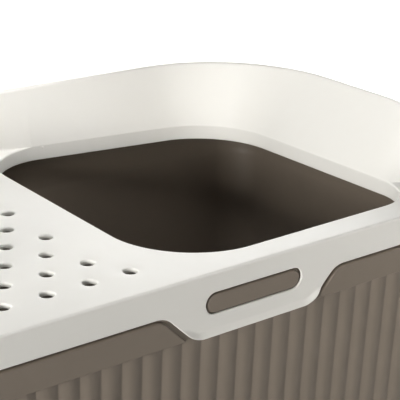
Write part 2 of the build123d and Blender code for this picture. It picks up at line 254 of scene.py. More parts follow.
RIM_X, RIM_Y = HL - RIM_IN - RIM_R, HW - RIM_IN - RIM_R


def foot_line(y):
    return V[1][0] + (V[2][0] - V[1][0]) * (y - V[1][1]) / (V[2][1] - V[1][1])


def foot_left(y):
    return -(275.0 - 36.0 * smooth((-y - 60.0) / 116.0))


def outer(y, f, side):
    """Point and normal of the outer outline at station y, f parts of the way from skirt to rim."""
    hx, hy, r = HL - RIM_IN * f, HW - RIM_IN * f, CR + (RIM_R - CR) * f
    dy = abs(y) - (hy - r)
    if dy <= 0:
        return np.array([side * hx, y]), np.array([float(side), 0.0])
    q = min(1.0, dy / r)
    n = np.array([side * math.sqrt(1 - q * q), math.copysign(q, y)])
    return np.array([side * (hx - r), math.copysign(hy - r, y)]) + r * n, n


class Station:
    """One place round the rim: outlines, rim height, lip edge and foot of the inner wall."""

    def __init__(self, edge, t):
        self.edge, self.t = edge, t
        self.side = 1 if edge <= 3 else -1
        self.level = edge in (1, 7)          # the wall's columns keep to one y
        if self.level:
            q = t if edge == 1 else 1 - t
            if q < 0.5:
                self.y = -(HW - CR) - CR * math.cos(math.pi * q)
            else:
                self.y = -(HW - CR) + (HW - CR - RIM_Y) * (q - 0.5) * 2
            self.A, self.nA = outer(self.y, 0.0, self.side)
            h = rim_height(self.y)
        else:
            self.A, self.nA = rr(HL, HW, CR, edge, t)
            self.B, _ = rr(HL - RIM_IN, HW - RIM_IN, RIM_R, edge, t)
            if edge in (2, 6):
                q = t if edge == 2 else 1 - t
                self.A = np.array([self.A[0], -RIM_Y + (HW - CR + RIM_Y) * q])
            h = 0.0 if edge == 0 else RIM
        self.h = h if h > 0.02 else 0.0
        self.T, self.n = self.plan(DECK + self.h), self.normal(DECK + self.h)
        self.K = self.T - LIP * self.n
        self.contact = False
        self.foot()

    def plan(self, z):
        f = lean(z, self.h)
        if self.level:
            return outer(self.y, f, self.side)[0]
        return self.A + (self.B - self.A) * f

    def normal(self, z):
        return outer(self.y, lean(z, self.h), self.side)[1] if self.level else self.nA

    def foot(self):
        e, K = self.edge, self.K
        self.E = None
        if e == 3:
            self.F, self.En = on_arc(AC, A1, A3, self.t)
        elif e == 4:
            x, x0, x3 = K[0], RIM_X, -RIM_X
            if x > B1[0]:
                f = (x0 - x) / (x0 - B1[0])
                self.F = A3 + (B1 - A3) * f
            elif x > B3[0]:
                self.F, _ = on_arc(BC, B1, B3, (B1[0] - x) / (B1[0] - B3[0])) if ccw_bend else (B1 + (B3 - B1) * (B1[0] - x) / (B1[0] - B3[0]), None)
            else:
                self.F = B3 + (C1 - B3) * (B3[0] - x) / (B3[0] - x3)
        elif e == 5:
            self.F, _ = on_arc(CC, C1, C3, self.t)
        elif e in (2, 1) and K[1] <= 20 or e in (6, 7) and K[1] <= 20:
            y = K[1]
            if e in (2, 1):
                F = np.array([min(foot_line(y), K[0] - 9.0), y])
            else:
                F = np.array([max(foot_left(y), K[0] + 9.0), y])
            w = smooth((-y - 112.0) / 55.0)
            self.F = F * (1 - w) + (K - 12.0 * self.n) * w
        elif e == 2:
            p0 = np.array([foot_line(20.0), 20.0])
            self.F = p0 + (A1 - p0) * (K[1] - 20.0) / (RIM_Y - 20.0)
        elif e == 6:
            self.F = C3 + (P1 - C3) * (RIM_Y - K[1]) / (RIM_Y - 20.0)
        else:
            self.F = K - 12.0 * self.n


# the 300 mm bend turns the other way round from the corners
_c = np.cross(np.append(B1 - BC, 0), np.append(B3 - BC, 0))[2]
ccw_bend = _c > 0


def solve_t(edge, want, axis, lo=0.0, hi=1.0):
    """Station parameter on an edge where the foot's coordinate has the wanted value."""
    f = lambda t: Station(edge, t).F[axis] - want
    a, b = f(lo), f(hi)
    for _ in range(50):
        mid = (lo + hi) / 2
        m = f(mid)
        if (m > 0) == (a > 0):
            lo, a = mid, m
        else:
            hi, b = mid, m
    return (lo + hi) / 2


def even(n, end=False):
    return [i / n for i in range(n + (1 if end else 0))]


t_right = EF[1][1]      # where the entry's front right corner meets its right side
t_far = EF[3][0]        # where its far side meets the far left corner
u_right = unit(V[2] - V[1])
u_far = unit(V[3] - V[2])

spec = {0: even(56), 1: even(64), 2: even(20), 3: even(40), 4: even(56), 5: even(40), 6: even(20), 7: even(64)}
right_marks = [t_right - u_right * s for s in (0.0, 5.0, 10.4)]
far_marks = [t_far + u_far * s for s in (0.0, 5.0, 10.1)]
extra_t = {1: [], 4: []}
for p in right_marks:
    extra_t[1].append(solve_t(1, p[1], 1, 0.05, 1.0))
for p in far_marks:
    extra_t[4].append(solve_t(4, p[0], 0))
for e, ts in extra_t.items():
    base = [t for t in spec[e] if all(abs(t - q) > 0.35 / len(spec[e]) for q in ts)]
    spec[e] = sorted(base + ts)
stations = [Station(e, t) for e in range(8) for t in spec[e]]
j_first = next(i for i, s in enumerate(stations) if s.edge == 1 and abs(s.t - extra_t[1][2]) < 1e-9)
j_last = next(i for i, s in enumerate(stations) if s.edge == 4 and abs(s.t - extra_t[4][2]) < 1e-9)


def closest_entry(p):
    """Closest point of the entry outline to p and the outline's outward normal there."""
    best = None
    for i in range(4):
        s, e, c = EF[i]
        v = p - c
        n = unit(v)
        q = c + n * ER[i]
        # on this arc if q lies between s and e
        a = np.cross(np.append(s - c, 0), np.append(q - c, 0))[2]
        b = np.cross(np.append(q - c, 0), np.append(e - c, 0))[2]
        if a >= -1e-9 and b >= -1e-9:
            d = np.linalg.norm(p - q)
            if best is None or d < best[0]:
                best = (d, q, n)
        s2, e2 = EF[i][1], EF[(i + 1) % 4][0]
        u = unit(e2 - s2)
        f = (p - s2) @ u
        if 0 <= f <= np.linalg.norm(e2 - s2):
            q = s2 + u * f
            d = np.linalg.norm(p - q)
            if best is None or d < best[0]:
                best = (d, q, np.array([u[1], -u[0]]))
    return best


for s in stations[j_first:j_last + 1]:
    s.contact = True
    d, s.E, s.En = closest_entry(s.F)

# entry columns that meet the deck: from the far left corner round to the front right one
entry_cols = []


def entry_walk():
    out = []
    s, e, c = EF[3]
    s_arc = 10.1 / ER[3]
    ang = lambda p, c: math.atan2(*(p - c)[::-1])
    for i, a_from in ((3, s_arc), (0, 0.0), (1, 0.0)):
        s, e, c = EF[i]
        a0, a1 = ang(s, c), ang(e, c)
        while a1 < a0:
            a1 += 2 * math.pi
        stop = a1 - (10.4 / ER[1] if i == 1 else 0.0)
        n = max(6, int(round((stop - a0 - a_from) / math.radians(2.6))))
        for k in range(n + 1):
            if i == 3 and k == 0 or i == 1 and k == n:
                continue
            a = a0 + a_from + (stop - a0 - a_from) * k / n
            nn = np.array([math.cos(a), math.sin(a)])
            out.append((c + ER[i] * nn, nn))
        if i != 1:
            s2, e2 = EF[i][1], EF[(i + 1) % 4][0]
            u = unit(e2 - s2)
            m = max(3, int(np.linalg.norm(e2 - s2) / 16))
            for k in range(1, m):
                out.append((s2 + (e2 - s2) * k / m, np.array([u[1], -u[0]])))
    return out


entry_cols = entry_walk()

# ------------------------------------------------------------ lid, upper skin
Z3 = lambda p, z: np.array([p[0], p[1], z])
UP = np.array([0.0, 0.0, 1.0])
Z_ROWS = [SKIRT_Z + 6.4, 321.0, 328.0]
ENTRY_R = 2.6
EDGE_R = 2.2
foot_loop = np.array([s.F for s in stations])


def foot_gap(p):
    """Distance from a point to the foot of the inner wall where that runs free of the entry."""
    m = len(stations)
    pts = np.array([foot_loop[(j_last + k) % m] for k in range(m - (j_last - j_first) + 1)])
    a, b = pts[:-1], pts[1:]
    f = np.clip(np.sum((p - a) * (b - a), axis=1) / np.sum((b - a) ** 2, axis=1), 0, 1)
    return float(np.min(np.linalg.norm(a + (b - a) * f[:, None] - p, axis=1)))


for s in stations:
    zt = DECK + s.h
    dz = 0.5
    out = (s.plan(zt) - s.plan(zt - dz)) / dz
    s.d1 = unit([out[0], out[1], 1.0])
    nin = np.array([-s.n[0], -s.n[1], 0.0])
    lam = math.asin(float(np.clip(s.d1 @ nin, -1, 1)))
    s.nin = nin
    T3, K3, F3 = Z3(s.T, zt), Z3(s.K, zt), Z3(s.F, DECK)
    if s.contact:
        F3 = Z3(s.E, DECK)
    s.d2 = unit(F3 - K3)
    theta = math.asin(float(np.clip(-s.d2[2], -1, 1)))
    s.theta = theta
    turn2 = math.acos(float(np.clip(nin @ s.d2, -1, 1)))
    k1, k2 = math.tan((math.pi / 2 - lam) / 2), math.tan(turn2 / 2)
    rf = LIP / (k1 + k2)
    e = smooth(s.h / 20.0)
    L1 = (EDGE_R + (rf - EDGE_R) * e) * k1
    L2 = max(rf * k2, 0.4)
    L1 = min(L1, LIP - L2 - 0.02)
    s.arc1 = round_corner(T3, s.d1, nin, L1, 7)
    s.arc2 = round_corner(K3, nin, s.d2, L2, 5)
    length = np.linalg.norm(F3 - K3)
    if s.contact:
        s.L4 = max(0.35, ENTRY_R * math.tan((math.pi / 2 - theta) / 2))
        s.top_end = F3 - s.d2 * s.L4
        s.low_arc = round_corner(F3, s.d2, -UP, s.L4, 6)
    else:
        flat_in = unit([s.d2[0], s.d2[1], 0.0])
        gap = closest_entry(s.F)[0]
        L3 = max(0.4, 6.0 * math.tan(theta / 2)) if theta > 0.002 else 0.4
        L3 = min(L3, 0.25 * gap)
        s.low_arc = round_corner(F3, s.d2, flat_in, L3, 5)
        s.top_end = s.low_arc[0]
    p0 = s.arc2[-1]
    s.slope = [p0 + (s.top_end - p0) * k / 7 for k in range(8)]
    z1 = s.arc1[0][2]
    zs = [Z_ROWS[2] + (z1 - Z_ROWS[2]) * k / 9 for k in range(10)]
    s.wall = [Z3(s.plan(z), z) for z in zs[:-1]] + [s.arc1[0]]

lid = Net()
rows = []
for k in range(10):
    rows.append([s.wall[k] for s in stations])
for k in range(1, 8):
    rows.append([s.arc1[k] for s in stations])
for k in range(0, 6):
    rows.append([s.arc2[k] for s in stations])
for k in range(1, 8):
    rows.append([s.slope[k] for s in stations])
lid.grid(rows, closed=True)

n_st = len(stations)
free = [stations[(j_last + 1 + k) % n_st] for k in range(n_st - (j_last - j_first + 1))]
lid.grid([[s.low_arc[k] for s in free] for k in range(6)])
cL, cF = stations[j_last], stations[j_first]
lid.fan(cL.top_end, free[0].low_arc)
lid.fan(cF.top_end, free[-1].low_arc)

# entry edge and flange
cols = []
for s in stations[j_first:j_last + 1]:
    cols.append(dict(E=s.E, n=s.En, arc=s.low_arc, s=s))
for E, n in entry_cols:
    L = min(1.9, 0.40 * foot_gap(E))
    C = Z3(E, DECK)
    cols.append(dict(E=E, n=n, arc=round_corner(C, np.array([-n[0], -n[1], 0.0]), -UP, L, 6), s=None))
for c in cols:
    e = c["arc"][-1]
    n3 = Z3(c["n"], 0.0)
    E3 = Z3(c["E"], FLANGE_Z)
    down = [e + (E3 + UP * 0.8 - e) * k / 4 for k in range(1, 5)]
    b1 = round_corner(E3, -UP, n3, 0.8, 3)[1:]
    O3 = E3 + n3 * FLANGE_T
    b2 = round_corner(O3, n3, UP, 0.5, 2)
    c["rows"] = list(c["arc"]) + down + b1 + b2
k_rows = len(cols[0]["rows"])
lid.grid([[c["rows"][k] for c in cols] for k in range(k_rows)], closed=True)

# holes: dish, rounded rim, wall and the boss below
holes = []
for row in range(9):
    if row % 2 == 0:
        cc = [0, 1, 2, 3] if row == 0 else [0, 1, 2]
    else:
        cc = [-0.5, 0.5, 1.5, 2.5]
    for c in cc:
        holes.append((HOLE_X0 + HOLE_PITCH * c, HOLE_Y0 + HOLE_PITCH * math.sqrt(3) / 2 * row))
free_edge = np.array([s.low_arc[-1][:2] for s in free])
entry_edge = np.array([c["arc"][0][:2] for c in cols if c["s"] is None])
NH = 36
ring = [(math.cos(2 * math.pi * k / NH), math.sin(2 * math.pi * k / NH)) for k in range(NH)]
upper_rings, lower_rings = [], []
HOLE_R, HOLE_TOP, HOLE_END, HOLE_WALL = 6.05, 1.9, 4.9, 1.5
for hx, hy in holes:
    p = np.array([hx, hy])
    room = min(np.min(np.linalg.norm(free_edge - p, axis=1)), np.min(np.linalg.norm(entry_edge - p, axis=1)))
    R = min(18.6, room - 1.5)
    D = 0.8 * R / 18.6
    dish = lambda r: D * 0.5 * (1 + math.cos(math.pi * min(1.0, r / R)))
    r_edge = HOLE_R + HOLE_TOP
    rs = [R + (r_edge - R) * (k / 8) for k in range(9)]
    prof = [(r, DECK - dish(r)) for r in rs]
    z_e = DECK - dish(r_edge)
    prof += [(HOLE_R + HOLE_TOP * (1 - math.sin(a)), z_e - HOLE_TOP * (1 - math.cos(a)))
             for a in [math.pi / 2 * k / 5 for k in range(1, 6)]]
    ze = DECK - HOLE_END
    prof += [(HOLE_R - 0.04, ze + 1.2), (HOLE_R - 0.06, ze + 0.3), (HOLE_R + 0.02, ze + 0.08), (HOLE_R + 0.24, ze),
             (HOLE_R + HOLE_WALL - 0.3, ze), (HOLE_R + HOLE_WALL - 0.05, ze + 0.1), (HOLE_R + HOLE_WALL, ze + 0.35)]
    r0 = HOLE_R + HOLE_WALL + 0.25
    prof += [(HOLE_R + HOLE_WALL + 0.06, DECK - SKIN - dish(r0) - 0.3)]
    prof += [(r, DECK - SKIN - dish(r)) for r in [r0 + (R - r0) * k / 5 for k in range(0, 6)]]
    lid.grid([[(hx + r * c, hy + r * s_, z) for c, s_ in ring] for r, z in prof], closed=True)
    upper_rings.append([((hx + R * c, hy + R * s_), (hx + R * c, hy + R * s_, DECK)) for c, s_ in ring])
    lower_rings.append([((hx + R * c, hy + R * s_), (hx + R * c, hy + R * s_, DECK - SKIN)) for c, s_ in ring])

# deck
loop = [cL.top_end] + [s.low_arc[-1] for s in free] + [cF.top_end]
loop += [c["arc"][0] for c in cols if c["s"] is None][::-1]
lid.flat([(p[:2], p) for p in loop], upper_rings, lambda p: (p[0], p[1], DECK))

# ------------------------------------------------------------ lid, lower skin
for s in stations:
    h = s.h
    zc = DECK + h - SKIN - 0.4 * smooth(h / 20.0)
    s.in_rows = []
    z_top = zc
    for k in range(10):
        z = Z_ROWS[2] + (z_top - Z_ROWS[2]) * k / 9
        p = s.plan(z) - SKIN * s.normal(z)
        s.in_rows.append(Z3(p, z))
    top = s.plan(z_top)
    Kl = Z3(top - 5.0 * s.normal(z_top), zc)
    F = s.E if s.contact else s.F
    w = unit(np.array([s.K[0] - F[0], s.K[1] - F[1]]))
    shift = SKIN * math.tan(s.theta / 2)
    if not s.contact:
        gap = closest_entry(s.F)[0]
        shift = max(shift, FLANGE_T + 0.5 - gap)
    Fl = Z3(F + w * shift, DECK - SKIN)
    s.in_slope = [Kl + (Fl - Kl) * k / 6 for k in range(7)]
    if s.contact:
        # stop at the flange's outer face
        def out_dist(q):
            return (q[:2] - s.E) @ s.En
        a, b = out_dist(Kl), out_dist(Fl)
        f = (a - FLANGE_T) / (a - b)
        G = Kl + (Fl - Kl) * f
        G[:2] = s.E + s.En * FLANGE_T + (G[:2] - s.E - s.En * ((G[:2] - s.E) @ s.En)) * 0.0
        s.in_slope = [Kl + (G - Kl) * k / 6 for k in range(7)]
rows = [[s.in_rows[k] for s in stations] for k in range(10)]
rows += [[s.in_slope[k] for s in stations] for k in range(7)]
lid.grid(rows, closed=True)
for c in cols:
    top = c["s"].in_slope[-1] if c["s"] is not None else Z3(c["E"] + c["n"] * FLANGE_T, DECK - SKIN)
    a = c["rows"][-1]
    c["up"] = [a + (top - a) * k / 3 for k in range(4)]
lid.grid([[c["up"][k] for c in cols] for k in range(4)], closed=True)
loop = [cL.in_slope[-1]] + [s.in_slope[-1] for s in free] + [cF.in_slope[-1]]
loop += [c["up"][-1] for c in cols if c["s"] is None][::-1]
lid.flat([(p[:2], p) for p in loop], lower_rings, lambda p: (p[0], p[1], DECK - SKIN))


# --------------------------------------------------- lid, skirt edge, tongues
def tongue_path(grow=0.0, root_r=22.0, foot_r=26.0, bottom=58.3, step=1.3):
    """Right half of the tongue outline in (x, drop), from the skirt's edge to the middle,
    with the normal that points into the plastic; grow moves the flank outwards."""
    k = math.tan(math.radians(45.5))
    fx, fd = 84.5 + grow, 39.3
    b = np.array([fx + (fd - 28.8) / k, 28.8])
    c = np.array([fx - (bottom + grow - fd) / k, bottom + grow])
    s1, e1, c1 = fillet(b, b + np.array([30.0, 0.0]), c, root_r)
    s2, e2, c2 = fillet(c, b, c + np.array([-60.0, 0.0]), foot_r)
    out = []

    def arc(cen, p, q, sign):
        a0, a1 = math.atan2(*(p - cen)[::-1]), math.atan2(*(q - cen)[::-1])
        if a1 - a0 > math.pi:
            a1 -= 2 * math.pi
        if a0 - a1 > math.pi:
            a1 += 2 * math.pi
        r = np.linalg.norm(p - cen)
        m = max(6, int(abs(a1 - a0) * r / step))
        for i in range(m + 1):
            a = a0 + (a1 - a0) * i / m
            n = np.array([math.cos(a), math.sin(a)])
            out.append((cen + r * n, n * sign))

    arc(c1, s1, e1, 1.0)                 # root: plastic lies outside this circle
    u = unit(s2 - e1)
    m = max(2, int(np.linalg.norm(s2 - e1) / step))
    nf = out[-1][1]
    for i in range(1, m):
        out.append((e1 + (s2 - e1) * i / m, nf))
    arc(c2, s2, e2, -1.0)                # foot: plastic lies inside
    return out


E_BAND = 6.4


def flare(e, drop):
    """How far the finger lip stands out, e from the tongue's edge at a drop below the deck."""
    g = smooth((drop - 43.0) / 11.0)
    if e >= 6.2:
        f = 0.0
    elif e > 4.4:
        f = 0.72 * (6.2 - e) ** 2 / (2 * 1.8)
    else:
        f = 0.72 * 0.9 + 0.72 * (4.4 - e)
    return f * g * 0.86


def skirt_loop(side):
    """Edge of the skirt along one long side, tongue included: (x, z), normal into the plastic."""
    half = tongue_path()
    sx = HL - CR
    pts = []
    x0 = half[0][0][0]
    for k in range(6):
        pts.append((np.array([sx + (x0 - sx) * k / 6, 28.8]), np.array([0.0, -1.0])))
    pts += half
    mid = half[-1][0][0]
    m = 18
    right = [(p.copy(), n.copy()) for p, n in pts]
    middle = [(np.array([mid - 2 * mid * k / m, 58.3]), np.array([0.0, -1.0])) for k in range(1, m)]
    left = [(np.array([-p[0], p[1]]), np.array([-n[0], n[1]])) for p, n in pts[::-1]]
    return right + middle + left            # x runs from +sx to -sx


PROFILE = [(E_BAND, 0.0), (5.6, 0.0), (4.9, 0.0), (4.2, 0.0), (3.5, 0.0), (2.8, 0.0), (2.1, 0.0), (1.5, 0.0),
           (1.0, 0.0), (0.617, 0.076), (0.293, 0.293), (0.076, 0.617), (0.0, 1.0), (0.0, 2.0),
           (0.17, 2.42), (0.6, 2.6), (1.5, 2.6), (2.8, 2.6), (4.2, 2.6), (5.2, 2.6), (E_BAND, 2.6)]


def side_columns(side):
    cols_ = []
    for p, n in skirt_loop(side):
        col = []
        for e, d in PROFILE:
            x, drop = p[0] + e * n[0], p[1] + e * n[1]
            y = side * (HW - d + flare(e, drop))
            if d > 0.0 and e < 1.0:
                y = side * (HW - d + flare(e, drop))
            col.append(np.array([x, y, DROP(drop)]))
        cols_.append(col)
    return cols_


def end_columns(sts):
    cols_ = []
    for s in sts:
        col = []
        for e, d in PROFILE:
            p = s.A - d * s.nA
            col.append(Z3(p, SKIRT_Z + e))
        cols_.append(col)
    return cols_


front_cols = side_columns(-1)[::-1]           # x from -sx to +sx
rear_cols = side_columns(1)                   # x from +sx to -sx
st_right = [s for s in stations if s.edge in (1, 2, 3)]
st_left = [s for s in stations if s.edge in (5, 6, 7)]
st_front = [s for s in stations if s.edge == 0]
st_back = [s for s in stations if s.edge == 4]
right_cols = end_columns(st_right)[1:]        # first station coincides with the front's end
left_cols = end_columns(st_left)[1:]
band = front_cols + right_cols + rear_cols + left_cols
lid.grid([[c[k] for c in band] for k in range(len(PROFILE))], closed=True)

# skirt rows between the band and the z = 328 row, at the ends and corners
sr = st_right + [st_back[0]]
sl = st_left + [st_front[0]]
for group in (sr, sl):
    lid.grid([[Z3(s.A, z) for s in group] for z in Z_ROWS])
    lid.grid([[Z3(s.A - SKIN * s.nA, z) for s in group] for z in Z_ROWS])


# slot in the tongue
def stadium(half, top, bot, n=14):
    r = (bot - top) / 2
    zc = DROP((top + bot) / 2)
    pts = []
    for k in range(n + 1):
        a = -math.pi / 2 + math.pi * k / n
        pts.append((half - r + r * math.cos(a), zc + r * math.sin(a), math.cos(a), math.sin(a)))
    for k in range(1, 16):
        pts.append((half - r - 2 * (half - r) * k / 16, zc + r, 0.0, 1.0))
    for k in range(n + 1):
        a = math.pi / 2 + math.pi * k / n
        pts.append((-half + r + r * math.cos(a), zc + r * math.sin(a), math.cos(a), math.sin(a)))
    for k in range(1, 16):
        pts.append((-half + r + 2 * (half - r) * k / 16, zc - r, 0.0, -1.0))
    return pts


slot = stadium(53.4, 19.0, 39.2)
SLOT_PROF = [(0.9, 0.0), (0.555, 0.069), (0.264, 0.264), (0.069, 0.555), (0.0, 0.9), (0.0, 2.1), (0.15, 2.45),
             (0.5, 2.6)]
for side, cs, top_sts in ((-1, front_cols, [*st_front, st_right[0]]), (1, rear_cols, [*st_back, st_left[0]])):
    lid.grid([[np.array([x + g * nx, side * (HW - d), z + g * nz]) for x, z, nx, nz in slot]
              for g, d in SLOT_PROF], closed=True)
    for depth, k_ring, g in ((0.0, 0, 0.9), (SKIN, -1, 0.5)):
        edge = [c[k_ring] for c in cs]
        y = side * (HW - depth)
        sx_end = edge[-1][0]
        col_a = [np.array([edge[-1][0], y, Z_ROWS[1]])]
        topr = [Z3(s.A - depth * s.nA, Z_ROWS[2]) for s in top_sts][::-1]
        col_b = [np.array([edge[0][0], y, Z_ROWS[1]])]
        loop = edge + col_a + topr + col_b
        hole = [np.array([x + g * nx, y, z + g * nz]) for x, z, nx, nz in slot]
        lid.flat([((p[0], p[2]), p) for p in loop], [[((p[0], p[2]), p) for p in hole]],
                 lambda q, y=y: (q[0], y, q[1]))


lid_all = lid.mesh("lid_whole")


# ------------------------------------------------- cutting the lid to its bodies
def cutter(x0, x1, y0, y1, z0, z1):
    n = Net()
    q = [(x0, y0), (x1, y0), (x1, y1), (x0, y1)]
    n.grid([[(x, y, z0) for x, y in q], [(x, y, z1) for x, y in q]], closed=True)
    n.face([(x, y, z0) for x, y in q], flip=True)
    n.face([(x, y, z1) for x, y in q])
    me = bpy.data.meshes.new("cutter")
    me.from_pydata([(x * 0.001, y * 0.001, z * 0.001) for x, y, z in n.v], [], n.f)
    bm = bmesh.new()
    bm.from_mesh(me)
    bmesh.ops.remove_doubles(bm, verts=bm.verts, dist=1e-6)
    bmesh.ops.recalc_face_normals(bm, faces=bm.faces)
    bm.to_mesh(me)
    bm.free()
    ob = bpy.data.objects.new("cutter", me)
    bpy.context.scene.collection.objects.link(ob)
    return ob


def booled(source, name, steps, deg=35.0):
    """A new object: source with each (operation, object) applied in turn."""
    ob = bpy.data.objects.new(name, source.data.copy())
    bpy.context.scene.collection.objects.link(ob)
    for op, other in steps:
        m = ob.modifiers.new(op, "BOOLEAN")
        m.operation, m.object, m.solver = op, other, "MANIFOLD"
    bpy.context.view_layer.update()
    dg = bpy.context.evaluated_depsgraph_get()
    me = bpy.data.meshes.new_from_object(ob.evaluated_get(dg))
    me.name = name
    ob.modifiers.clear()
    ob.data = me
    bm = bmesh.new()
    bm.from_mesh(me)
    bad = sum(1 for e in bm.edges if len(e.link_faces) != 2)
    bm.free()
    print("cut", name, len(me.vertices), "verts", len(me.polygons), "faces, open edges", bad)
    finish_shading(ob, deg)
    return ob


SH_IN, SH_OUT, HINGE_Z = 66.0, 106.0, 323.0
pieces = {}
for side, word in ((-1, "front"), (1, "rear")):
    y0, y1 = sorted((side * 185.0, side * 215.0))
    for part, (x0, x1) in (("centre", (-SH_IN, SH_IN)), ("left", (-SH_OUT, -SH_IN)), ("right", (SH_IN, SH_OUT))):
        c = cutter(x0, x1, y0, y1, 260.0, HINGE_Z)
        pieces[word, part] = booled(lid_all, f"{word}_tongue_{part}", [("INTERSECT", c)])
        bpy.data.objects.remove(c)
cf = cutter(-SH_OUT, SH_OUT, -215.0, -185.0, 260.0, HINGE_Z)
cr = cutter(-SH_OUT, SH_OUT, 185.0, 215.0, 260.0, HINGE_Z)
lid_main = booled(lid_all, "lid_shell", [("DIFFERENCE", cf), ("DIFFERENCE", cr)])
for c in (cf, cr, lid_all):
    bpy.data.objects.remove(c)

# ------------------------------------------------------------------- tub body
REEDS = (25, 15, 3)
REED_H = 2.0
FR = [0.0, 0.028, 0.065, 0.12, 0.2, 0.3, 0.4, 0.5, 0.6, 0.7, 0.8, 0.88, 0.935, 0.972]


def groove_list():
    """(edge, fraction) of every groove round the tub, counter-clockwise from the right side's front end."""
    out = []
    for i in range(REEDS[1]):
        out.append((2, i / REEDS[1]))
    for q, (corner_e, side_e, m) in enumerate([(3, 4, REEDS[0]), (5, 6, REEDS[1]), (7, 0, REEDS[0]), (1, None, 0)]):
        for i in range(REEDS[2]):
            out.append((corner_e, i / REEDS[2]))
        for i in range(m):
            out.append((side_e, i / m))
    return out


REED_SHIFT = -3.2
GROOVES = [(e, t + (REED_SHIFT if e == 0 else -REED_SHIFT) / (2 * (HL - CR)) if e in (0, 4) and t > 0 else t)
           for e, t in groove_list()]


def reed_profile(f):
    y = 4 * f * (1 - f) * REED_H
    c = 0.3
    return (math.sqrt(y * y + c * c) - c) / (math.sqrt(REED_H ** 2 + c * c) - c) * REED_H


BUMP = [reed_profile(f) for f in FR]


def tub_ring(d_plain, z, w=0.0, d_groove=None):
    """Ring round the tub: plain outline inset by d_plain, or w parts of the reeded one."""
    out = []
    n = len(GROOVES)
    for i in range(n):
        e, t = GROOVES[i]
        e2, t2 = GROOVES[(i + 1) % n]
        if e2 != e:
            t2 = 1.0
        if w > 0:
            a, _ = rr(HL - d_groove, HW - d_groove, CR - d_groove, e, t)
            b, _ = rr(HL - d_groove, HW - d_groove, CR - d_groove, e, t2)
            u = unit(b - a)
            nn = np.array([u[1], -u[0]])
        for f, h in zip(FR, BUMP):
            p, _ = rr(HL - d_plain, HW - d_plain, CR - d_plain, e, t + (t2 - t) * f) if w < 1 else (None, None)
            if w > 0:
                q = a + (b - a) * f + nn * h
                p = q if w >= 1 else p * (1 - w) + q * w
            out.append((p[0], p[1], z))
    return out


inset = lambda z: 5.8 + (COLLAR_Z - z) * DRAFT
WALL = 1.9
d_low = inset(10.0)
rows = []
rows.append(tub_ring(d_low + 6.5, 0.0))
for k in range(1, 9):
    a = math.pi / 2 * k / 8
    rows.append(tub_ring(d_low + 6.5 * (1 - math.sin(a)), 7.5 * (1 - math.cos(a))))
for z in (10.5, 12.0, 14.0, 16.0, 18.0, 20.0, 22.0, 24.0):
    rows.append(tub_ring(inset(z), z, smooth((z - 10.0) / 14.0), inset(z)))
for z in (26.0, 50.0, 80.0, 110.0, 140.0, 170.0, 200.0, 230.0, 255.0, 272.0, COLLAR_Z):
    rows.append(tub_ring(0, z, 1.0, inset(z)))
for d, z in ((3.52, COLLAR_Z), (3.52, 294.0), (3.52, 308.0), (4.2, 308.0), (4.5, 308.3), (4.5, 318.0), (4.5, 328.4),
             (4.65, 329.0), (5.1, 329.4), (6.4, 329.4), (6.85, 329.0), (7.0, 328.4), (7.0, 316.0), (7.0, 300.0),
             (7.0, 284.0)):
    rows.append(tub_ring(d, z))
for k in range(1, 6):
    f = smooth(k / 5)
    z = 284.0 - 8.0 * k / 5
    rows.append(tub_ring(7.0 * (1 - f) + (inset(z) + WALL) * f, z))
for z in (250.0, 200.0, 150.0, 100.0, 50.0, 24.0):
    rows.append(tub_ring(inset(z) + WALL, z))
for k in range(0, 7):
    a = math.pi / 2 * k / 6
    rows.append(tub_ring(d_low + WALL + 4.0 * (1 - math.cos(a)), 10.0 - 6.8 * math.sin(a)))
tub = Net()
tub.grid(rows, closed=True)
for r, fl in ((rows[0], True), (rows[-1], False)):
    tub.flat([(p[:2], p) for p in r], [], lambda q, z=r[0][2]: (q[0], q[1], z), flip=fl)
tub_ob = tub.mesh("tub_wall", smooth_deg=40)

# ---------------------------------------------------------------------- collar
BEVEL, EDGE_B, GAP = 2.2, 0.8, 2.0
Z_B = COLLAR_Z + EDGE_B
half_path = tongue_path(grow=2.4, root_r=19.6, foot_r=28.4, step=0.8)
hp = np.array([[*p, *(-n)] for p, n in half_path])


def flank(e, n_cols=34):
    """Columns of the collar's outline beside the tongue at offset e, from the root to the collar's lower edge."""
    q = hp[:, :2] + e * hp[:, 2:]
    want = DROP(Z_B)
    k = next(i for i in range(len(q) - 1) if q[i][1] < want <= q[i + 1][1])
    v_end = k + (want - q[k][1]) / (q[k + 1][1] - q[k][1])
    out = []
    for i in range(n_cols + 1):
        v = v_end * i / n_cols
        a = min(int(v), len(hp) - 2)
        row = hp[a] + (hp[a + 1] - hp[a]) * (v - a)
        m = unit(row[2:])
        out.append((row[0] + e * m[0], row[1] + e * m[1], m))
    return out


ang_b = [math.pi / 2 * k / 7 for k in range(8)]
RINGS = [(BEVEL * (1 - math.cos(a)), BEVEL * (1 - math.sin(a)) , a) for a in ang_b]
sx = HL - CR
end_sts = [rr(HL, HW, CR, e, t) for e, ts in ((1, even(36)), (2, even(14)), (3, even(36))) for t in ts] + [rr(HL, HW, CR, 4, 0.0)]


